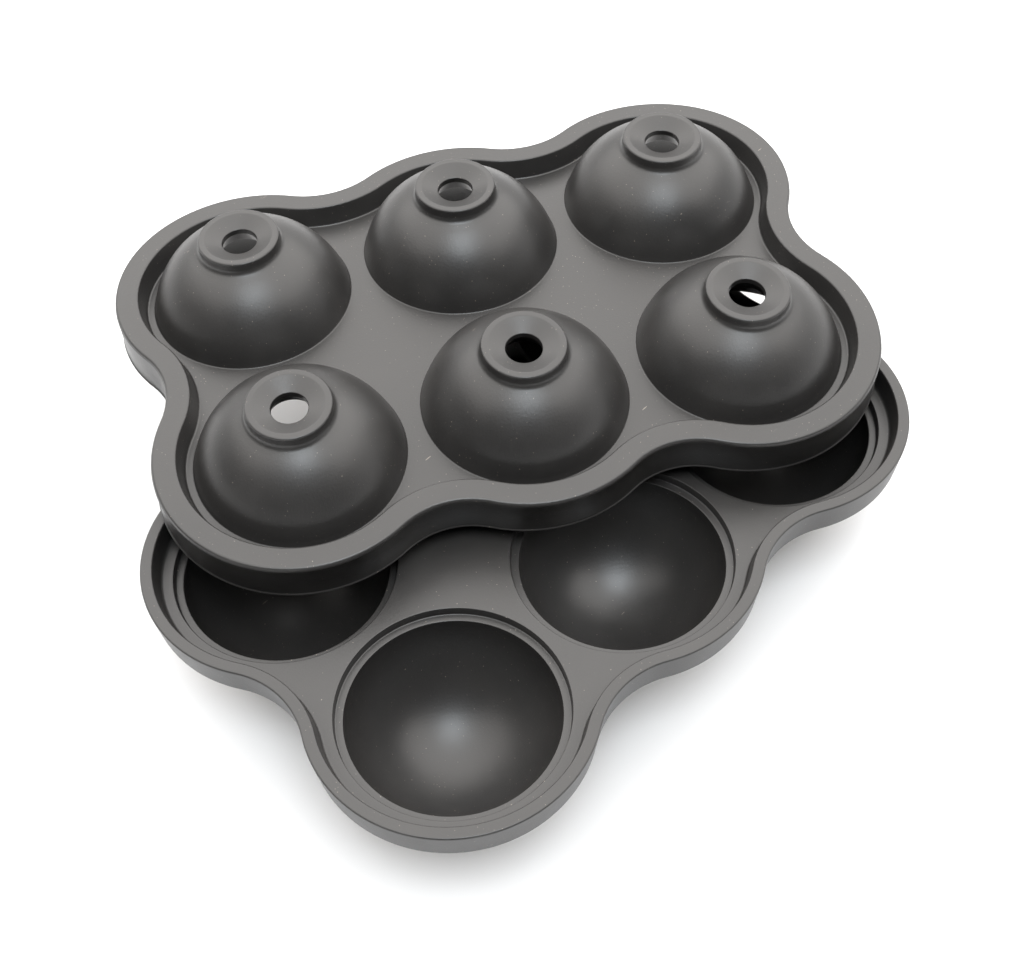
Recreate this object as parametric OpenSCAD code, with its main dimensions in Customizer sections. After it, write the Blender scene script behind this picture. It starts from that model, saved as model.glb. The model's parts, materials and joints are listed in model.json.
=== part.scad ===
// Two-piece silicone mold for six ice balls: a tray of cups, and a lid of domes with fill holes.
// The lid lies loose and askew on the tray. Heights are counted from the middle of the balls until
// the halves are placed, and a radius of the outline is counted from the centre of a ball.

/* [Balls] */
// Diameter of the ball
ball_d = 45; // [38:0.5:60]
// Gap between neighbouring balls
ball_gap = 6.6; // [5:0.1:14]
// Balls along the tray
columns = 3; // [2:1:5]
// Balls across the tray
rows = 2; // [2:1:4]
// Height of the sealing step above the middle of a ball
parting = 2; // [0:0.1:4]

/* [Tray] */
// Wall of a cup
cup_wall = 2; // [1.5:0.1:4]
// Width of the sealing step round a cup
seat_w = 1.9; // [1.2:0.1:2.4]
// Depth of the sealing step below the deck
seat_depth = 2; // [1:0.1:4]
// Thickness under the sealing step
seat_floor = 1.2; // [0.8:0.1:3]
// Flat deck between a sealing step and the rim
deck_w = 3.1; // [2:0.1:6]
// Height of the rim above the deck
rim_h = 5; // [3:0.1:8]
// Thickness of the rim
rim_w = 3.2; // [2:0.1:5]
// Radius of the hollows between the rim's lobes
scallop_r = 20.4; // [12:0.1:40]
// Depth of the flat foot under a cup
foot_cut = 0.3; // [0.1:0.05:0.8]

/* [Lid] */
// Wall of a dome
dome_wall = 2.5; // [1.5:0.1:3]
// Height of a lip below the lid's deck
lip_h = 4.4; // [3.4:0.1:6]
// Thickness of the lid's deck and of its rim's top
lid_t = 2; // [1.2:0.1:4]
// Room in the channel over the tray's rim when closed
channel_room = 2.6; // [0.4:0.1:4]
// Walls of the channel in the lid's rim
skirt_wall = 1.3; // [0.8:0.1:2]
// Depth of the channel down to the skirt's lower edge
skirt_drop = 7.8; // [5.5:0.1:8]
// Diameter of the collar round a fill hole
collar_d = 18.8; // [15:0.1:24]
// Height of the collar's top above the ball
collar_h = 3.4; // [3:0.1:6]
// Diameter of a fill hole
hole_d = 8; // [5:0.1:11]

/* [Fits] */
// Clearance of a lip in its sealing step
lip_clearance = 0.2; // [0.1:0.05:0.5]
// Clearance of the tray's rim at each wall of the channel
skirt_clearance = 0.2; // [0.1:0.05:0.5]
// Clearance under a lip in its sealing step when closed
seat_clearance = 0.2; // [0.1:0.05:0.5]
// Clearance under the lid as it lies on the rim
rest_clearance = 0.2; // [0.1:0.05:0.5]

/* [Edges] */
// Rounding of a collar's top edge
collar_edge_r = 0.9; // [0.4:0.1:1.2]
// Fillet between a collar and its dome
collar_foot_r = 1.2; // [0.6:0.1:2]

/* [Lid as it lies] */
// Shift of the lid along the tray
lid_shift_x = 23.8; // [-40:0.1:40]
// Shift of the lid across the tray
lid_shift_y = 36.8; // [-40:0.1:40]
// Turn of the lid
lid_turn = -28.5; // [-90:0.5:90]

/* [Hidden] */
$fn = 96;
silicone = "#3d3b3b";
ball_r = ball_d / 2;
pitch = ball_d + ball_gap;
span_x = (columns - 1) * pitch;
span_y = (rows - 1) * pitch;

// Tray: radii outwards from a ball's centre, and heights from its middle
cup_out_r = ball_r + cup_wall;
mouth_r = sqrt(ball_r * ball_r - parting * parting);
seat_r = mouth_r + seat_w;
rim_in_r = seat_r + deck_w;
rim_out_r = rim_in_r + rim_w;
deck_bottom = parting - seat_floor;
deck_top = parting + seat_depth;
rim_top = deck_top + rim_h;
foot_z = foot_cut - cup_out_r;

// Lid: radii and heights in the same way. Closed, it stands on its lips, with the tray's rim in the channel
dome_r = ball_r + dome_wall;
lip_out_r = seat_r - lip_clearance;
channel_in_r = rim_in_r - skirt_clearance;
channel_out_r = rim_out_r + skirt_clearance;
bead_in_r = channel_in_r - skirt_wall;
skirt_out_r = channel_out_r + skirt_wall;
lip_bottom = parting + seat_clearance;
lid_deck_bottom = lip_bottom + lip_h;
lid_deck_top = lid_deck_bottom + lid_t;
channel_top = rim_top + channel_room;
bead_top = channel_top + lid_t;
skirt_bottom = channel_top - skirt_drop;
collar_r = collar_d / 2;
collar_top = ball_r + collar_h;

// Outline: a lobe and the hollow beside it touch, so their radii always add up to this distance
reach = rim_out_r + scallop_r;
hollow_out = sqrt(reach * reach - pitch * pitch / 4);
// How far an arc cuts into its neighbour, so that the two cross and don't only touch
bite = 0.01;

// Places of the halves: the lid's lowest face lies on the rim, and the pair is centred on the origin
lid_lift = rim_top - min(lip_bottom, skirt_bottom) + rest_clearance;
lid_half_x = (span_x * abs(cos(lid_turn)) + span_y * abs(sin(lid_turn))) / 2 + skirt_out_r;
lid_half_y = (span_x * abs(sin(lid_turn)) + span_y * abs(cos(lid_turn))) / 2 + skirt_out_r;
tray_half_x = span_x / 2 + rim_out_r;
tray_half_y = span_y / 2 + rim_out_r;
pair_x = (max(tray_half_x, lid_shift_x + lid_half_x) - max(tray_half_x, lid_half_x - lid_shift_x)) / 2;
pair_y = (max(tray_half_y, lid_shift_y + lid_half_y) - max(tray_half_y, lid_half_y - lid_shift_y)) / 2;

// Puts a child at every ball
module at_balls() {
    for (i = [0 : columns - 1], j = [0 : rows - 1])
        translate([i * pitch - span_x / 2, j * pitch - span_y / 2])
            children();
}

// Puts a child at the middle between neighbouring balls along each side
module at_hollows() {
    for (side = [0 : 3]) {
        count = side % 2 == 0 ? columns : rows;
        out = side % 2 == 0 ? span_y : span_x;
        rotate(90 * side)
            for (i = [0 : count - 2])
                translate([(i + 0.5 - (count - 1) / 2) * pitch, -out / 2])
                    children();
    }
}

// The scalloped outline at a radius round the balls: lobes, with a hollow between neighbours
module outline(r) {
    difference() {
        union() {
            square([span_x, span_y], center = true);
            at_balls()
                circle(r);
            at_hollows()
                polygon([[-pitch / 2, 0], [0, -hollow_out], [pitch / 2, 0]]);
        }
        at_hollows()
            translate([0, -hollow_out])
                circle(reach - r + bite);
    }
}

// The outline as a slab between two heights
module slab(r, low, high) {
    translate([0, 0, low])
        linear_extrude(high - low)
            outline(r);
}

module cup_profile() {
    intersection() {
        circle(cup_out_r);
        translate([0, foot_z])
            square([cup_out_r, parting - foot_z]);
    }
}

module lower_half() {
    color(silicone)
        translate([-pair_x, -pair_y, -foot_z])
            difference() {
                union() {
                    slab(rim_out_r, deck_bottom, rim_top);
                    at_balls()
                        rotate_extrude()
                            cup_profile();
                }
                slab(rim_in_r, deck_top, rim_top + 1);
                at_balls() {
                    sphere(ball_r);
                    translate([0, 0, parting])
                        cylinder(h = rim_top, r = seat_r);
                }
            }
}

module dome_profile() {
    fillet_x = collar_r + collar_foot_r;
    fillet = [fillet_x, sqrt(pow(dome_r + collar_foot_r, 2) - fillet_x * fillet_x)];
    difference() {
        union() {
            intersection() {
                circle(dome_r);
                translate([0, lid_deck_bottom])
                    square(dome_r);
            }
            square([collar_r, collar_top]);
            polygon([[0, fillet.y], fillet, [0, 0]]);
        }
        translate(fillet)
            circle(collar_foot_r + bite);
        translate([collar_r - collar_edge_r, collar_top - collar_edge_r])
            difference() {
                square(2 * collar_edge_r);
                circle(collar_edge_r);
            }
    }
}

// The lid's deck, with its rim hollowed from below into a channel
module lid_deck() {
    difference() {
        slab(skirt_out_r, skirt_bottom, bead_top);
        difference() {
            slab(channel_out_r, skirt_bottom - 1, channel_top);
            slab(channel_in_r, lid_deck_bottom, channel_top + 1);
        }
        slab(bead_in_r, lid_deck_top, bead_top + 1);
    }
}

module upper_half() {
    color(silicone)
        translate([lid_shift_x - pair_x, lid_shift_y - pair_y, lid_lift - foot_z])
            rotate(lid_turn)
                difference() {
                    union() {
                        lid_deck();
                        at_balls() {
                            translate([0, 0, lip_bottom])
                                cylinder(h = lid_deck_top - lip_bottom, r = lip_out_r);
                            rotate_extrude()
                                dome_profile();
                        }
                    }
                    at_balls() {
                        sphere(ball_r);
                        cylinder(h = 2 * collar_top, d = hole_d);
                    }
                }
}

lower_half();
upper_half();
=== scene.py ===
"""Looks of a two-part silicone ice ball mold: a tray of cups, and a lid of domes lying askew on it."""

import json
import math
from types import SimpleNamespace

import bmesh
import bpy
from bpy.props import FloatProperty, FloatVectorProperty, PointerProperty
from bpy.types import Operator, Panel, PropertyGroup
from mathutils import Matrix, Vector


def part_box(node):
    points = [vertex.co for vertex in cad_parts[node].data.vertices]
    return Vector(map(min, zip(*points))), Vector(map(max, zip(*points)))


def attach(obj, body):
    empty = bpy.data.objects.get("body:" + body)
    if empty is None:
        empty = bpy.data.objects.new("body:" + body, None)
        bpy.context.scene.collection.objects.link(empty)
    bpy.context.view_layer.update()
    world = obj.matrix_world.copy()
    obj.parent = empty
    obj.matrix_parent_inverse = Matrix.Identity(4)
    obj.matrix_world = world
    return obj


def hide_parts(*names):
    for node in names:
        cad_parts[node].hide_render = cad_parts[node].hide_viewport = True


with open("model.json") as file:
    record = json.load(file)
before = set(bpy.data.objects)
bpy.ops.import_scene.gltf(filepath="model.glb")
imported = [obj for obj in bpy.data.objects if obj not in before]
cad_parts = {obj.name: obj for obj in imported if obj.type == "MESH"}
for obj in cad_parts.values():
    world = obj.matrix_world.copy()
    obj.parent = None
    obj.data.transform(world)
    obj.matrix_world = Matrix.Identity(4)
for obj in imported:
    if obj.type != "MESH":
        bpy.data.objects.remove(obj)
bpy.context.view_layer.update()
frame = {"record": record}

bl_info = {
    "name": "Silicone Ice Ball Mold",
    "version": (1, 0, 0),
    "blender": (4, 5, 0),
    "location": "View3D > Sidebar > Ice Mold",
    "description": "Models a silicone ice ball tray with its domed lid, and a plain studio round them",
    "category": "Object",
}

MM = 0.001
COLUMNS = 3
ROWS = 2

# Fineness of the meshes, with distances in millimetres
ARC_STEP = math.radians(15)
FINE_STEP = math.radians(3)
CUP_STEPS = 108
SHELL_STEPS = 96
DOME_STEPS = 96
WELD = 0.004
LEVEL_TOLERANCE = 0.01

# Straight hold on both sides of a rounding, in millimetres
HOLD = 0.12

# The lattice that drapes the lid, and the distance that the drape's heights are given at, in millimetres
CAGE_SIZE = (260, 210, 60)
CAGE_POINTS = (9, 7)
DRAPE_SPAN = 60

# Small steps of the profiles, in millimetres
STEP = SimpleNamespace(
    tray_deck=1.1,  # deck beside the tray's rim
    tray_under=1.2,  # underside of the deck beside the tray's rim
    seat_deck=0.5,  # deck round a sealing step
    lid_deck=0.9,  # deck beside the lid's bead, its channel and its lips
    dome_deck=0.35,  # deck round a dome
    mouth=0.6,  # straight part of a cup's inside below its mouth
    lip=0.7,  # straight part of a dome's inside above its lip
    flare=1,  # straight part of a dome's inside below its flare
    foot=0.3,  # flat ring inside a foot's edge
    lean=0.1,  # lean of the lid's upright walls
    line_half=0.12,  # half the height of the parting line
    line_out=0.1,  # how far the parting line stands out
    flash_root=0.45,  # heights of the flash above the skirt's lower edge
    flash_top=0.22,
    flash_low=0.08,
    flash_in=0.1,  # undercut below the flash
)

# Roundings of the profiles, in millimetres
ROUND = SimpleNamespace(
    tray_foot=0.7, tray_inner=0.35, tray_outer=0.4, tray_under=0.5,
    seat_edge=0.18, seat_foot=0.3, mouth=0.2, cup_root=0.6,
    bead_foot=0.5, bead_inner=0.5, bead_outer=0.75,
    flash=0.15, skirt_edge=0.25, channel_roof=0.5, channel_foot=0.3,
    dome_foot=0.35, collar=0.5, dish=0.6, hole=0.3, land=0.08, flare=0.3,
    lip_inner=0.2, lip_outer=0.3, lip_root=0.5,
)

# Rounding of a corner that stays sharp
SHARP = 0

# Sockets of the colour blend in a Mix node
MIX_FACTOR = 0
MIX_FIRST = 6
MIX_SECOND = 7
MIX_RESULT = 2

# Silicone, and the dust on it
SILICONE_IOR = 1.58
SPECKS = {"Cells": 1100, "Share": 0.95, "Size": 0.13}
LINT = {"Cells": 330, "Share": 0.35, "Size": 0.045, "Stretch": 8}
LINT_TURNS = (0.4, 1.7, 2.6)

# Studio, in metres. A way is given as parts to the camera's right, away from the camera and up
SENSOR_WIDTH = 36
MIDDLE_HEIGHT = 0.03
FLOOR_SIZE = 2.6
FLOOR_GLOW = 0.1
FLOOR_GLOW_TINT = (1, 0.96, 0.92, 1)
SOFTBOX_WAY = (0, 0.3, 0.95)
SOFTBOX_DISTANCE = 1.3
SOFTBOX_SIZE = (4.2, 3)
SOFTBOX_TINT = (1, 0.968, 0.935)
KEY_WAY = (0.05, -0.38, 0.92)
KEY_DISTANCE = 1.2
KEY_SIZE = (0.5, 0.5)
KEY_TINT = (0.84, 0.93, 1)
FILL_WAY = (0.3, 0.95, 0)
DIM_SHARE = 0.05

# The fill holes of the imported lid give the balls' pitch and the lid's turn
hole_at = {m["name"]: Vector(m["pos_m"]) for m in frame["record"]["mounts"] if m["kind"] == "bore"}
near_row = hole_at["fill_hole_near_right"] - hole_at["fill_hole_near_left"]
LID_TURN = math.atan2(near_row.y, near_row.x)
PITCH = near_row.length / (COLUMNS - 1) / MM


# Sizes and colours that a user would change

def length(name, description, millimetres):
    """A property for a length, given in millimetres."""
    return FloatProperty(
        name=name, description=description, default=millimetres * MM, min=0, unit="LENGTH", precision=4
    )


def coordinate(name, description, millimetres):
    """A property for a coordinate, given in millimetres."""
    return FloatProperty(name=name, description=description, default=millimetres * MM, unit="LENGTH")


def angle(name, description, degrees):
    """A property for an angle, given in degrees."""
    return FloatProperty(
        name=name, description=description, default=math.radians(degrees), subtype="ANGLE"
    )


def colour(name, description, red, green, blue):
    """A property for a colour."""
    return FloatVectorProperty(
        name=name, description=description, default=(red, green, blue), min=0, max=1, subtype="COLOR"
    )


def amount(name, description, value, top=1.0):
    """A property for a plain number."""
    return FloatProperty(name=name, description=description, default=value, min=0, max=top)


class BallSizes(PropertyGroup):
    """Sizes that both halves share."""

    ball_r: length("Ball radius", "Radius of the ice ball", 22.5)
    parting: length("Parting", "Height of the sealing steps above the ball's middle", 2)
    reach: length("Reach", "Distance from a lobe's centre to the centre of the hollow beside it", 51)
    facet: length("Facet", "Longest straight step along the scalloped rims", 1.6)


class TraySizes(PropertyGroup):
    """Sizes of the tray. Heights are above the ball's middle."""

    cup_wall: length("Cup wall", "Wall of a cup", 2)
    foot_cut: length("Foot cut", "Depth of the flat under a cup", 0.3)
    seat_r: length("Seat radius", "Radius of the sealing step at the deck", 24.35)
    seat_taper: length("Seat taper", "How much narrower the step is at its floor", 0.15)
    deck_top: length("Deck top", "Height of the deck", 4)
    deck_under: length("Deck underside", "Height of the deck's underside", 0.8)
    rim_top: length("Rim top", "Height of the rim's top", 9)
    rim_foot_r: length("Rim foot", "Radius of the rim's inner foot", 27)
    rim_in_r: length("Rim inside", "Radius of the rim's inner top edge", 27.9)
    rim_out_r: length("Rim outside", "Radius of the rim's outer top edge", 30.6)
    rim_under_r: length("Rim underside", "Radius of the rim's lower outer edge", 29.7)


class LidSizes(PropertyGroup):
    """Sizes of the lid. Heights are above the ball's middle."""

    dome_wall: length("Dome wall", "Wall of a dome, as the difference of its two radii", 1.75)
    dome_rise: length("Dome rise", "Height of the outer dome's centre above the ball's middle", 2.5)
    deck_top: length("Deck top", "Height of the deck", 8.6)
    deck_under: length("Deck underside", "Height of the deck's underside", 6.6)
    lip_r: length("Lip radius", "Outer radius of the lip that enters a sealing step", 24.15)
    lip_low: length("Lip edge", "Height of the lip's lower edge", 2.2)
    bead_foot_r: length("Bead foot", "Radius of the bead's inner foot", 25.3)
    bead_in_r: length("Bead inside", "Radius of the bead's inner top edge", 26.4)
    bead_out_r: length("Bead outside", "Radius of the bead's outer top edge", 31.8)
    bead_top: length("Bead top", "Height of the bead's top", 13.6)
    line_drop: length("Parting line", "Depth of the mold's parting line below the bead's top", 0.9)
    channel_foot_r: length("Channel foot", "Radius of the channel's inner foot", 26.75)
    channel_in_r: length("Channel inside", "Radius of the channel's inner wall at its roof", 27.65)
    channel_top: length("Channel roof", "Height of the channel's roof", 11.6)
    skirt_r: length("Skirt radius", "Outer radius of the skirt's lower edge", 32.1)
    skirt_in_r: length("Skirt inside", "Inner radius of the skirt", 30.8)
    skirt_low: length("Skirt edge", "Height of the skirt's lower edge", 3.8)
    flash: length("Flash", "How far the thin flash stands out from the skirt's lower edge", 0.25)
    collar_r: length("Collar radius", "Radius of the collar round a fill hole", 9.4)
    collar_top: length("Collar top", "Height of the collar's outer edge", 27.6)
    collar_foot: length("Collar fillet", "Fillet between the collar and the dome", 1.7)
    dish: length("Dish", "Depth of the collar's dished top at the fill hole", 1.6)
    dish_r: length("Dish radius", "Radius of the dish in a collar's top", 7.8)
    hole_r: length("Hole radius", "Radius of a fill hole", 4)
    hole_land: length("Hole land", "Length of a fill hole's straight wall, above its flare", 1.2)
    flare_r: length("Flare radius", "Radius of the flare under a fill hole", 5.4)


class LidDrape(PropertyGroup):
    """How the soft lid hangs over the tray's rim. Heights are given at 60 mm from the lid's middle."""

    lift: length("Lift", "Height of the lid's middle above its level place", 0.9)
    sag_along: length("Sag along", "Sag of the lid's two ends", 0.4)
    sag_across: length("Sag across", "Sag of the lid's two long sides", 2.6)
    tilt_along: length("Tilt along", "Rise towards the lid's right end", 0.2)
    tilt_across: length("Tilt across", "Rise towards the lid's far side", 0.6)
    twist: length("Twist", "Rise of the lid's far right corner", 0.4)
    slip: length("Slip", "How far the lid has slipped down towards the tray's near corner", 0.6)


class SiliconeFinish(PropertyGroup):
    """Colours and finish of the silicone."""

    body: colour("Silicone", "Colour of the silicone", 0.022, 0.0211, 0.0206)
    bloom: colour("Bloom", "Colour where a pale bloom lies on the silicone", 0.03, 0.0284, 0.0272)
    dust: colour("Dust", "Colour of dust specks", 0.22, 0.19, 0.16)
    roughness: amount("Roughness", "Roughness of the moulded skin", 0.37)
    grain: amount("Grain", "Strength of the fine moulded grain", 0.25)


class StudioSetup(PropertyGroup):
    """Camera and light."""

    camera_x: coordinate("Camera X", "From the tray's centre", -149.11)
    camera_y: coordinate("Camera Y", "From the tray's centre", -147.96)
    camera_z: coordinate("Camera Z", "Above the tray's rim", 271.17)
    heading: angle("Heading", "Turn of the view from +Y", -43.804)
    downward: angle("Downward", "Slope of the view", 52.269)
    roll: angle("Roll", "Roll of the camera", -2.699)
    lens: FloatProperty(name="Lens", description="Focal length in mm on a 36 mm sensor", default=54.514)
    floor: colour("Floor", "Colour of the floor", 0.75, 0.753, 0.758)
    softbox: amount("Softbox", "Power of the large soft light behind, in watts", 97, 200)
    key: amount("Key", "Power of the small light above the camera, in watts", 6, 50)
    fill: amount("Fill", "Strength of the even light behind and beside the mold", 1.0)


def in_mm(group):
    """The lengths of a property group as plain numbers of millimetres."""
    return SimpleNamespace(**{name: getattr(group, name) / MM for name in group.__annotations__})


# Outlines of a profile, as points of radius and height

def arc(centre, start, end, step=ARC_STEP):
    """Points along the shorter arc about a centre, from start to end, both included."""
    centre, start, end = Vector(centre), Vector(start), Vector(end)
    first, last = start - centre, end - centre
    turn = math.atan2(first.x * last.y - first.y * last.x, first.dot(last))
    count = max(2, math.ceil(abs(turn) / step))
    return [centre + Matrix.Rotation(turn * i / count, 2) @ first for i in range(count + 1)]


def rounded_line(corners):
    """Points of a line through corners of radius, height and rounding. A short straight hold on both
    sides of each arc keeps the flats beside it flat."""
    line = [Vector(corners[0][:2])]
    for before, corner, after in zip(corners, corners[1:], corners[2:]):
        here = Vector(corner[:2])
        rounding = corner[2]
        back = (Vector(before[:2]) - here).normalized()
        onward = (Vector(after[:2]) - here).normalized()
        if rounding == SHARP:
            line.append(here)
            continue
        half = back.angle(onward) / 2
        tangent = rounding / math.tan(half)
        centre = here + (back + onward).normalized() * rounding / math.sin(half)
        line.append(here + back * (tangent + HOLD))
        line += arc(centre, here + back * tangent, here + onward * tangent)
        line.append(here + onward * (tangent + HOLD))
    line.append(Vector(corners[-1][:2]))
    return line


def deck_fillet(ball_r, level, fillet):
    """An arc from a deck at a level onto the outside of a ball. A negative fillet lies below it."""
    x = math.sqrt((ball_r + abs(fillet)) ** 2 - (level + fillet) ** 2)
    centre = Vector((x, level + fillet))
    return arc(centre, (x, level), centre * ball_r / (ball_r + abs(fillet)))


def collar_fillet(ball_r, collar_r, fillet):
    """An arc from the outside of a ball onto an upright collar."""
    x = collar_r + fillet
    centre = Vector((x, math.sqrt((ball_r + fillet) ** 2 - x**2)))
    return arc(centre, centre * ball_r / (ball_r + fillet), (collar_r, centre.y))


# Modelling steps

def deselect_all():
    """Leaves edit mode and deselects every object."""
    if bpy.context.mode != "OBJECT":
        bpy.ops.object.mode_set(mode="OBJECT")
    bpy.ops.object.select_all(action="DESELECT")


def pick(*pieces):
    """Selects pieces, the first of them active."""
    deselect_all()
    for piece in pieces:
        piece.select_set(True)
    bpy.context.view_layer.objects.active = pieces[0]


def draw_line(name, points):
    """A new piece: edges through points of radius and height, left selected in edit mode."""
    deselect_all()
    bpy.ops.mesh.primitive_plane_add(size=1)
    piece = bpy.context.object
    piece.name = name
    piece.data.name = name
    bpy.ops.object.mode_set(mode="EDIT")
    bpy.ops.mesh.select_mode(type="VERT")
    bpy.ops.mesh.merge(type="CENTER")
    bpy.ops.transform.translate(value=(points[0].x, 0, points[0].y))
    for start, end in zip(points, points[1:]):
        step = (end.x - start.x, 0, end.y - start.y)
        bpy.ops.mesh.extrude_region_move(TRANSFORM_OT_translate={"value": step})
    bpy.ops.mesh.select_all(action="SELECT")
    return piece


def spin(turn, centre, steps):
    """Sweeps the selected line about an upright axis, counterclockwise for a positive turn."""
    bpy.ops.mesh.spin(steps=steps, angle=-turn, center=(*centre, 0), axis=(0, 0, 1))


def weld():
    """Merges the points of the edited piece that lie together."""
    bpy.ops.mesh.select_all(action="SELECT")
    bpy.ops.mesh.remove_doubles(threshold=WELD)


def turned(name, points, steps):
    """A piece turned from a profile about its own axis."""
    piece = draw_line(name, points)
    spin(2 * math.pi, (0, 0), steps)
    weld()
    deselect_all()
    return piece


def ball_places():
    """The centres of the balls, from the mold's centre."""
    return [
        ((i - (COLUMNS - 1) / 2) * PITCH, (j - (ROWS - 1) / 2) * PITCH)
        for j in range(ROWS)
        for i in range(COLUMNS)
    ]


def rim_arcs(reach):
    """Arcs of the scalloped outline, as centre and turn, counterclockwise from the near left lobe."""
    hollow_out = math.sqrt(reach**2 - PITCH**2 / 4)
    hollow_turn = 2 * math.atan2(PITCH / 2, hollow_out)
    corner_turn = math.pi / 2 + hollow_turn
    arcs = []
    for side in range(4):
        count, across = (COLUMNS, ROWS) if side % 2 == 0 else (ROWS, COLUMNS)
        spot = Matrix.Rotation(side * math.pi / 2, 2)
        for i in range(count - 1):
            x = (i - (count - 1) / 2) * PITCH
            y = -(across - 1) / 2 * PITCH
            arcs.append((spot @ Vector((x, y)), corner_turn if i == 0 else hollow_turn))
            arcs.append((spot @ Vector((x + PITCH / 2, y - hollow_out)), -hollow_turn))
    return arcs


def swept_rim(name, points, reach, facet):
    """A rim whose profile runs along the scalloped outline."""
    arcs = rim_arcs(reach)
    first_lobe = arcs[0][0]
    hollow_turn = arcs[1][1]
    # The first lobe begins where the last hollow ends
    start = Matrix.Rotation(math.pi + hollow_turn / 2, 4, "Z")
    piece = draw_line(name, points)
    pick(piece)
    piece.matrix_world = Matrix.Translation((*first_lobe, 0)) @ start
    bpy.ops.object.transform_apply()
    bpy.ops.object.mode_set(mode="EDIT")
    bpy.ops.mesh.select_all(action="SELECT")
    widest = max(point.x for point in points)
    for centre, turn in arcs:
        radius = widest if turn > 0 else reach - widest
        spin(turn, centre, math.ceil(abs(turn) * radius / facet))
    weld()
    deselect_all()
    return piece


def copies_at_balls(piece):
    """Copies of a piece at every ball. The piece itself is used up."""
    copies = []
    for place in ball_places():
        pick(piece)
        bpy.ops.object.duplicate()
        copy = bpy.context.object
        copy.location = (*place, 0)
        bpy.ops.object.transform_apply()
        copies.append(copy)
    bpy.data.objects.remove(piece)
    return copies


def fill_deck(piece, level):
    """Fills the flat deck between the open edges at a level."""
    pick(piece)
    bpy.ops.object.mode_set(mode="EDIT")
    bpy.ops.mesh.select_all(action="DESELECT")
    bpy.ops.mesh.select_mode(type="EDGE")
    mesh = bmesh.from_edit_mesh(piece.data)
    for edge in mesh.edges:
        level_edge = all(abs(v.co.z - level) < LEVEL_TOLERANCE for v in edge.verts)
        edge.select_set(edge.is_boundary and level_edge)
    bmesh.update_edit_mesh(piece.data)
    bpy.ops.mesh.fill(use_beauty=True)
    deselect_all()


def assemble(rim, cells, levels):
    """Joins a rim and its cups or domes, fills the decks between them and closes the skin."""
    pick(rim, *cells)
    bpy.ops.object.join()
    for level in levels:
        fill_deck(rim, level)
    pick(rim)
    bpy.ops.object.mode_set(mode="EDIT")
    weld()
    bpy.ops.mesh.normals_make_consistent(inside=False)
    pick(rim)
    bpy.ops.object.shade_smooth()


def drape_height(drape, x, y):
    """Height and slopes of the draped lid at a place, in millimetres."""
    u, v = x / DRAPE_SPAN, y / DRAPE_SPAN
    height = (
        drape.lift + drape.tilt_along * u + drape.tilt_across * v + drape.twist * u * v
        - drape.sag_along * u**2 - drape.sag_across * v**2
    )
    slope_x = (drape.tilt_along + drape.twist * v - 2 * drape.sag_along * u) / DRAPE_SPAN
    slope_y = (drape.tilt_across + drape.twist * u - 2 * drape.sag_across * v) / DRAPE_SPAN
    return height, slope_x, slope_y


def drape_lid(piece, drape, level):
    """Bends the lid about its deck's level, with a lattice round it."""
    deselect_all()
    bpy.ops.object.add(type="LATTICE")
    cage = bpy.context.object
    cage.data.points_u, cage.data.points_v = CAGE_POINTS
    cage.data.interpolation_type_u = cage.data.interpolation_type_v = "KEY_CATMULL_ROM"
    cage.data.interpolation_type_w = "KEY_LINEAR"
    cage.scale = CAGE_SIZE
    cage.location = (0, 0, level)
    for point in cage.data.points:
        x, y, z = (point.co[k] * cage.scale[k] for k in range(3))
        height, slope_x, slope_y = drape_height(drape, x, y)
        moved = (x - z * slope_x, y - z * slope_y, z + height)
        point.co_deform = [moved[k] / cage.scale[k] for k in range(3)]
    bend = piece.modifiers.new("Drape", "LATTICE")
    bend.object = cage
    pick(piece)
    bpy.ops.object.modifier_apply(modifier=bend.name)
    bpy.data.objects.remove(cage)


def put(piece, centre, turn):
    """Brings a piece from millimetres about its own centre to its place in the frame."""
    pick(piece)
    piece.matrix_world = Matrix.Translation(centre) @ Matrix.Rotation(turn, 4, "Z") @ Matrix.Scale(MM, 4)
    bpy.ops.object.transform_apply()


def box_centre(node_name):
    """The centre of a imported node's box, and its two corners."""
    low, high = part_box(node_name)
    return (low + high) / 2, low, high


# Profiles of the two halves. Each one brings a short stretch of deck along, which the deck's fill meets

def ball_point(radius, height):
    """The point of a ball's profile at a height."""
    return Vector((math.sqrt(radius**2 - height**2), height))


def ball_ring(radius, ring_r):
    """The upper point of a ball's profile at a distance from its axis."""
    return Vector((ring_r, math.sqrt(radius**2 - ring_r**2)))


def tray_rim_line(tray):
    """The tray's rim, from the deck over the rim to the underside."""
    return rounded_line([
        (tray.rim_foot_r - STEP.tray_deck, tray.deck_top, SHARP),
        (tray.rim_foot_r, tray.deck_top, ROUND.tray_foot),
        (tray.rim_in_r, tray.rim_top, ROUND.tray_inner),
        (tray.rim_out_r, tray.rim_top, ROUND.tray_outer),
        (tray.rim_under_r, tray.deck_under, ROUND.tray_under),
        (tray.rim_under_r - STEP.tray_under, tray.deck_under, SHARP),
    ])


def cup_inside_line(ball, tray):
    """A cup's inside, from the deck down its sealing step to the bottom of the ball."""
    start = ball_point(ball.ball_r, ball.parting - STEP.mouth)
    seat = rounded_line([
        (tray.seat_r + STEP.seat_deck, tray.deck_top, SHARP),
        (tray.seat_r, tray.deck_top, ROUND.seat_edge),
        (tray.seat_r - tray.seat_taper, ball.parting, ROUND.seat_foot),
        (*ball_point(ball.ball_r, ball.parting), ROUND.mouth),
        (*start, SHARP),
    ])
    return seat + arc((0, 0), start, (0, -ball.ball_r), FINE_STEP)[1:]


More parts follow.
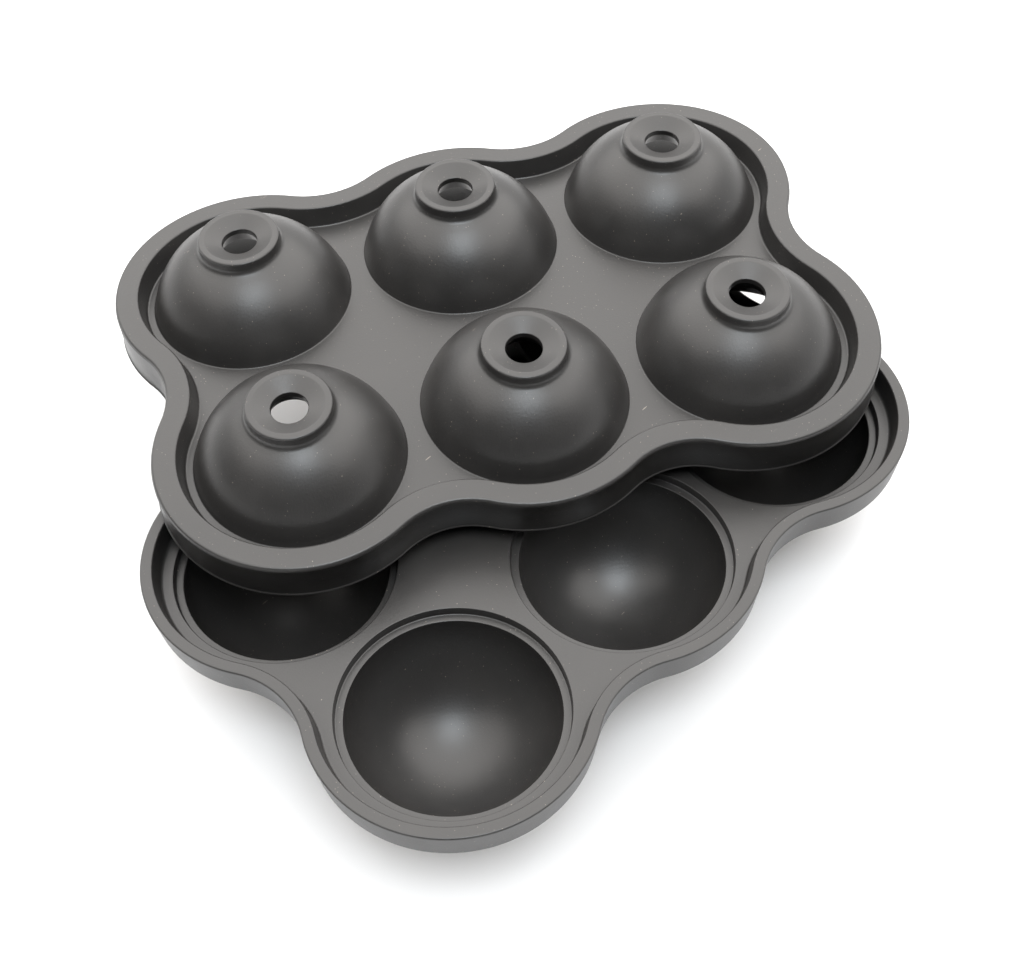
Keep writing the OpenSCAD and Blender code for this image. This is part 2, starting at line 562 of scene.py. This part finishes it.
def cup_outside_line(ball, tray):
    """A cup's outside, from the deck's underside to the middle of its flat foot."""
    out_r = ball.ball_r + tray.cup_wall
    foot = tray.foot_cut - out_r
    fillet = deck_fillet(out_r, tray.deck_under, -ROUND.cup_root)
    edge = Vector((math.sqrt(out_r**2 - foot**2), foot))
    return (
        [fillet[0] + Vector((HOLD, 0))] + fillet
        + arc((0, 0), fillet[-1], edge, FINE_STEP)[1:]
        + [edge - Vector((STEP.foot, 0)), Vector((0, foot))]
    )


def lid_rim_line(lid):
    """The lid's rim, from the deck over the bead, down the skirt and up through the channel."""
    line_z = lid.bead_top - lid.line_drop
    flash_r = lid.skirt_r + lid.flash
    return rounded_line([
        (lid.bead_foot_r - STEP.lid_deck, lid.deck_top, SHARP),
        (lid.bead_foot_r, lid.deck_top, ROUND.bead_foot),
        (lid.bead_in_r, lid.bead_top, ROUND.bead_inner),
        (lid.bead_out_r - STEP.lean, lid.bead_top, ROUND.bead_outer),
        (lid.bead_out_r, line_z + STEP.line_half, SHARP),
        (lid.bead_out_r + STEP.line_out, line_z, SHARP),
        (lid.bead_out_r, line_z - STEP.line_half, SHARP),
        (lid.skirt_r, lid.skirt_low + STEP.flash_root, ROUND.flash),
        (flash_r, lid.skirt_low + STEP.flash_top, SHARP),
        (flash_r, lid.skirt_low + STEP.flash_low, SHARP),
        (lid.skirt_r - STEP.flash_in, lid.skirt_low, SHARP),
        (lid.skirt_in_r + STEP.lean, lid.skirt_low, ROUND.skirt_edge),
        (lid.skirt_in_r, lid.channel_top, ROUND.channel_roof),
        (lid.channel_in_r, lid.channel_top, ROUND.channel_roof),
        (lid.channel_foot_r, lid.deck_under, ROUND.channel_foot),
        (lid.channel_foot_r - STEP.lid_deck, lid.deck_under, SHARP),
    ])


def dome_line(ball, lid):
    """A dome, from the deck over its collar, through the fill hole and down the inside to its lip."""
    out_r = ball.ball_r + lid.dome_wall
    rise = Vector((0, lid.dome_rise))
    fillet = deck_fillet(out_r, lid.deck_top - lid.dome_rise, ROUND.dome_foot)
    foot = [point + rise for point in fillet]
    collar = [point + rise for point in collar_fillet(out_r, lid.collar_r, lid.collar_foot)]
    flare = ball_ring(ball.ball_r, lid.flare_r)
    inside = ball_ring(ball.ball_r, lid.flare_r + STEP.flare)
    lip = ball_point(ball.ball_r, lid.lip_low + STEP.lip)
    hole_top = lid.collar_top - lid.dish
    collar_line = rounded_line([
        (*collar[-1], SHARP),
        (lid.collar_r - STEP.lean, lid.collar_top, ROUND.collar),
        (lid.dish_r, lid.collar_top, ROUND.dish),
        (lid.hole_r, hole_top, ROUND.hole),
        (lid.hole_r, hole_top - lid.hole_land, ROUND.land),
        (*flare, ROUND.flare),
        (*inside, SHARP),
    ])
    lip_line = rounded_line([
        (*lip, SHARP),
        (*ball_point(ball.ball_r, lid.lip_low), ROUND.lip_inner),
        (lid.lip_r, lid.lip_low, ROUND.lip_outer),
        (lid.lip_r, lid.deck_under, ROUND.lip_root),
        (lid.lip_r + STEP.lid_deck, lid.deck_under, SHARP),
    ])
    return (
        [foot[0] + Vector((STEP.dome_deck, 0))] + foot
        + arc(rise, foot[-1], collar[0], FINE_STEP)[1:] + collar[1:]
        + collar_line[1:] + arc((0, 0), inside, lip, FINE_STEP)[1:] + lip_line[1:]
    )


# Materials

def node(tree, kind, inputs=(), **settings):
    """A new shader node with its settings, and with its inputs linked or set."""
    made = tree.nodes.new(kind)
    for name, value in settings.items():
        setattr(made, name, value)
    for key, value in dict(inputs).items():
        if isinstance(value, bpy.types.NodeSocket):
            tree.links.new(value, made.inputs[key])
        else:
            made.inputs[key].default_value = value
    return made


def maths(tree, operation, first, second):
    """The output socket of a sum, product or test of two numbers, each an output socket or plain."""
    return node(tree, "ShaderNodeMath", {0: first, 1: second}, operation=operation).outputs[0]


def mix_colours(tree, factor, first, second):
    """The output socket of a blend of two colours, each an output socket or a plain colour."""
    inputs = {MIX_FACTOR: factor}
    for key, value in ((MIX_FIRST, first), (MIX_SECOND, second)):
        inputs[key] = value if isinstance(value, bpy.types.NodeSocket) else (*value, 1)
    return node(tree, "ShaderNodeMix", inputs, data_type="RGBA").outputs[MIX_RESULT]


def group_tree(name, sockets_in, outputs):
    """A new shader node group, its input node and its output node."""
    tree = bpy.data.node_groups.new(name, "ShaderNodeTree")
    for label, kind, value in sockets_in:
        socket = tree.interface.new_socket(label, in_out="INPUT", socket_type=kind)
        socket.default_value = value
    for label, kind in outputs:
        tree.interface.new_socket(label, in_out="OUTPUT", socket_type=kind)
    return tree, node(tree, "NodeGroupInput"), node(tree, "NodeGroupOutput")


def dust_group():
    """Specks of dust, or short lint where they are stretched. The mask is each one's strength."""
    tree, given, out = group_tree(
        "Dust Specks",
        [
            ("Cells", "NodeSocketFloat", 400.0),
            ("Share", "NodeSocketFloat", 0.2),
            ("Size", "NodeSocketFloat", 0.07),
            ("Turn", "NodeSocketFloat", 0.0),
            ("Stretch", "NodeSocketFloat", 1.0),
        ],
        [("Mask", "NodeSocketFloat")],
    )
    place = node(tree, "ShaderNodeTexCoord")
    turn = node(tree, "ShaderNodeCombineXYZ", {"Z": given.outputs["Turn"]})
    along = maths(tree, "DIVIDE", 1.0, given.outputs["Stretch"])
    size = node(tree, "ShaderNodeCombineXYZ", {"X": along, "Y": 1.0, "Z": 1.0})
    laid = node(
        tree, "ShaderNodeMapping",
        {"Vector": place.outputs["Object"], "Rotation": turn.outputs[0], "Scale": size.outputs[0]},
    )
    cells = node(
        tree, "ShaderNodeTexVoronoi",
        {"Vector": laid.outputs[0], "Scale": given.outputs["Cells"]},
        feature="F1",
    )
    chosen = node(tree, "ShaderNodeSeparateColor", {"Color": cells.outputs["Color"]})
    reach = maths(tree, "MULTIPLY", chosen.outputs["Green"], given.outputs["Size"])
    near = maths(tree, "LESS_THAN", cells.outputs["Distance"], reach)
    some = maths(tree, "LESS_THAN", chosen.outputs["Red"], given.outputs["Share"])
    both = maths(tree, "MULTIPLY", near, some)
    level = maths(tree, "MULTIPLY", both, chosen.outputs["Blue"])
    tree.links.new(level, out.inputs["Mask"])
    return tree


def skin_group():
    """Slow mottling and fine grain of a moulded silicone skin."""
    tree, given, out = group_tree(
        "Moulded Skin",
        [("Mottle Scale", "NodeSocketFloat", 45.0), ("Grain Scale", "NodeSocketFloat", 1800.0)],
        [("Mottle", "NodeSocketFloat"), ("Grain", "NodeSocketFloat")],
    )
    place = node(tree, "ShaderNodeTexCoord")
    mottle = node(
        tree, "ShaderNodeTexNoise",
        {
            "Vector": place.outputs["Object"], "Scale": given.outputs["Mottle Scale"],
            "Detail": 5.0, "Roughness": 0.6,
        },
    )
    grain = node(
        tree, "ShaderNodeTexNoise",
        {
            "Vector": place.outputs["Object"], "Scale": given.outputs["Grain Scale"],
            "Detail": 3.0, "Roughness": 0.65,
        },
    )
    tree.links.new(mottle.outputs["Fac"], out.inputs["Mottle"])
    tree.links.new(grain.outputs["Fac"], out.inputs["Grain"])
    return tree


def shared_group(name, make):
    """A shader node group by its name, made when it is first asked for."""
    return bpy.data.node_groups.get(name) or make()


def silicone_material(name, finish):
    """Dark matte silicone with a pale bloom, fine grain and a little dust."""
    material = bpy.data.materials.new(name)
    material.use_nodes = True
    tree = material.node_tree
    tree.nodes.clear()
    skin = node(tree, "ShaderNodeGroup", node_tree=shared_group("Moulded Skin", skin_group))
    blend = node(
        tree, "ShaderNodeMapRange",
        {
            "Value": skin.outputs["Mottle"], "From Min": 0.35, "From Max": 0.7,
            "To Min": 0.0, "To Max": 1.0,
        },
    )
    coloured = mix_colours(tree, blend.outputs["Result"], finish.body, finish.bloom)
    dust_tree = shared_group("Dust Specks", dust_group)
    for inputs in [SPECKS] + [LINT | {"Turn": turn} for turn in LINT_TURNS]:
        dust = node(tree, "ShaderNodeGroup", inputs, node_tree=dust_tree)
        coloured = mix_colours(tree, dust.outputs["Mask"], coloured, finish.dust)
    rough = node(
        tree, "ShaderNodeMapRange",
        {
            "Value": skin.outputs["Mottle"], "From Min": 0.3, "From Max": 0.7,
            "To Min": finish.roughness - 0.04, "To Max": finish.roughness + 0.05,
        },
    )
    bump = node(
        tree, "ShaderNodeBump",
        {"Height": skin.outputs["Grain"], "Strength": finish.grain, "Distance": 0.0001},
    )
    shader = node(
        tree, "ShaderNodeBsdfPrincipled",
        {
            "Base Color": coloured, "Roughness": rough.outputs["Result"],
            "Normal": bump.outputs["Normal"], "IOR": SILICONE_IOR,
        },
    )
    output = node(tree, "ShaderNodeOutputMaterial")
    tree.links.new(shader.outputs["BSDF"], output.inputs["Surface"])
    return material


def finish_piece(piece, material, node_name, body):
    """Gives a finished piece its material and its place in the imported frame."""
    piece.data.materials.clear()
    piece.data.materials.append(material)
    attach(piece, body)
    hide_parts(node_name)


# Operators

class ICEMOLD_OT_tray(Operator):
    """Model the tray of cups"""

    bl_idname = "icemold.tray"
    bl_label = "Tray"

    def execute(self, context):
        scene = context.scene
        ball = in_mm(scene.icemold_ball)
        tray = in_mm(scene.icemold_tray)
        cup = turned("cup_inside", cup_inside_line(ball, tray), CUP_STEPS)
        shell = turned("cup_outside", cup_outside_line(ball, tray), SHELL_STEPS)
        cells = copies_at_balls(cup) + copies_at_balls(shell)
        piece = swept_rim("silicone_tray", tray_rim_line(tray), ball.reach, ball.facet)
        assemble(piece, cells, [tray.deck_top, tray.deck_under])
        centre, _, high = box_centre("lower_half")
        put(piece, (centre.x, centre.y, high.z - tray.rim_top * MM), 0)
        material = silicone_material("Tray Silicone", scene.icemold_finish)
        finish_piece(piece, material, "lower_half", "tray")
        return {"FINISHED"}


class ICEMOLD_OT_lid(Operator):
    """Model the lid of domes with fill holes"""

    bl_idname = "icemold.lid"
    bl_label = "Lid"

    def execute(self, context):
        scene = context.scene
        ball = in_mm(scene.icemold_ball)
        lid = in_mm(scene.icemold_lid)
        dome = turned("dome", dome_line(ball, lid), DOME_STEPS)
        piece = swept_rim("silicone_lid", lid_rim_line(lid), ball.reach, ball.facet)
        assemble(piece, copies_at_balls(dome), [lid.deck_top, lid.deck_under])
        drape_lid(piece, in_mm(scene.icemold_drape), lid.deck_top)
        centre, low, _ = box_centre("upper_half")
        slip = scene.icemold_drape.slip * math.sqrt(0.5)
        put(piece, (centre.x - slip, centre.y - slip, low.z - lid.lip_low * MM), LID_TURN)
        material = silicone_material("Lid Silicone", scene.icemold_finish)
        finish_piece(piece, material, "upper_half", "lid")
        return {"FINISHED"}


def add_area(name, place, target, size, power, tint):
    """A soft rectangular light that faces a target."""
    bpy.ops.object.light_add(type="AREA", location=place)
    lamp = bpy.context.object
    lamp.name = name
    lamp.data.shape = "RECTANGLE"
    lamp.data.size, lamp.data.size_y = size
    lamp.data.energy = power
    lamp.data.color = tint
    lamp.rotation_euler = (target - place).to_track_quat("-Z", "Y").to_euler()


def floor_material(tint):
    """A pale floor that glows a little for the camera and keeps the shadow."""
    material = bpy.data.materials.new("Pale Floor")
    material.use_nodes = True
    tree = material.node_tree
    tree.nodes.clear()
    rays = node(tree, "ShaderNodeLightPath")
    lift = maths(tree, "MULTIPLY", rays.outputs["Is Camera Ray"], FLOOR_GLOW)
    glow = node(tree, "ShaderNodeEmission", {"Color": FLOOR_GLOW_TINT, "Strength": lift})
    matt = node(tree, "ShaderNodeBsdfDiffuse", {"Color": (*tint, 1)})
    both = node(tree, "ShaderNodeAddShader", {0: matt.outputs[0], 1: glow.outputs[0]})
    output = node(tree, "ShaderNodeOutputMaterial")
    tree.links.new(both.outputs[0], output.inputs["Surface"])
    return material


def studio_world(bright, fill):
    """A white light, dim on the side away from a bright direction. The camera sees it as white."""
    world = bpy.data.worlds.new("Studio World")
    world.use_nodes = True
    tree = world.node_tree
    place = node(tree, "ShaderNodeTexCoord")
    side = node(
        tree, "ShaderNodeVectorMath",
        {0: place.outputs["Generated"], 1: bright},
        operation="DOT_PRODUCT",
    )
    level = node(
        tree, "ShaderNodeMapRange",
        {
            "Value": side.outputs["Value"], "From Min": -0.5, "From Max": 0.5,
            "To Min": DIM_SHARE * fill, "To Max": fill,
        },
        interpolation_type="SMOOTHSTEP",
    )
    rays = node(tree, "ShaderNodeLightPath")
    seen = maths(tree, "MAXIMUM", level.outputs["Result"], rays.outputs["Is Camera Ray"])
    backdrop = tree.nodes["Background"]
    backdrop.inputs["Color"].default_value = (1, 1, 1, 1)
    tree.links.new(seen, backdrop.inputs["Strength"])
    return world


class ICEMOLD_OT_stage(Operator):
    """Set the floor, the light and the camera"""

    bl_idname = "icemold.stage"
    bl_label = "Studio"

    def execute(self, context):
        scene = context.scene
        studio = scene.icemold_studio
        deselect_all()
        bpy.ops.mesh.primitive_plane_add(size=FLOOR_SIZE)
        floor = context.object
        floor.name = "studio_floor"
        floor.data.materials.append(floor_material(studio.floor))
        heading = Matrix.Rotation(studio.heading, 3, "Z")
        middle = Vector((0, 0, MIDDLE_HEIGHT))
        softbox = middle + heading @ Vector(SOFTBOX_WAY) * SOFTBOX_DISTANCE
        add_area("softbox", softbox, middle, SOFTBOX_SIZE, studio.softbox, SOFTBOX_TINT)
        key = middle + heading @ Vector(KEY_WAY) * KEY_DISTANCE
        add_area("key", key, middle, KEY_SIZE, studio.key, KEY_TINT)
        scene.world = studio_world(heading @ Vector(FILL_WAY), studio.fill)
        centre, _, high = box_centre("lower_half")
        rim_middle = Vector((centre.x, centre.y, high.z))
        spot = rim_middle + Vector((studio.camera_x, studio.camera_y, studio.camera_z))
        bpy.ops.object.camera_add(location=spot)
        camera = context.object
        camera.name = "photo_camera"
        camera.data.sensor_width = SENSOR_WIDTH
        camera.data.lens = studio.lens
        camera.data.clip_start = 0.01
        slope = Matrix.Rotation(math.pi / 2 - studio.downward, 3, "X")
        roll = Matrix.Rotation(studio.roll, 3, "Z")
        camera.rotation_euler = (heading @ slope @ roll).to_euler()
        scene.camera = camera
        scene.view_settings.view_transform = "Standard"
        return {"FINISHED"}


class ICEMOLD_PT_panel(Panel):
    """Sizes, finish and steps of the mold"""

    bl_label = "Ice Ball Mold"
    bl_space_type = "VIEW_3D"
    bl_region_type = "UI"
    bl_category = "Ice Mold"

    def draw(self, context):
        for group_name in GROUPS:
            group = getattr(context.scene, group_name)
            box = self.layout.box()
            for key in group.__annotations__:
                box.prop(group, key)
        for step in STEPS:
            self.layout.operator(step.bl_idname)


GROUPS = {
    "icemold_ball": BallSizes,
    "icemold_tray": TraySizes,
    "icemold_lid": LidSizes,
    "icemold_drape": LidDrape,
    "icemold_finish": SiliconeFinish,
    "icemold_studio": StudioSetup,
}
STEPS = (ICEMOLD_OT_stage, ICEMOLD_OT_tray, ICEMOLD_OT_lid)


def register():
    for made in (*GROUPS.values(), *STEPS, ICEMOLD_PT_panel):
        bpy.utils.register_class(made)
    for name, group in GROUPS.items():
        setattr(bpy.types.Scene, name, PointerProperty(type=group))


def unregister():
    for name in GROUPS:
        delattr(bpy.types.Scene, name)
    for made in (ICEMOLD_PT_panel, *STEPS, *GROUPS.values()):
        bpy.utils.unregister_class(made)


def main():
    register()
    bpy.ops.icemold.stage()
    bpy.ops.icemold.tray()
    bpy.ops.icemold.lid()
    bpy.context.view_layer.update()


if __name__ == "__main__":
    main()
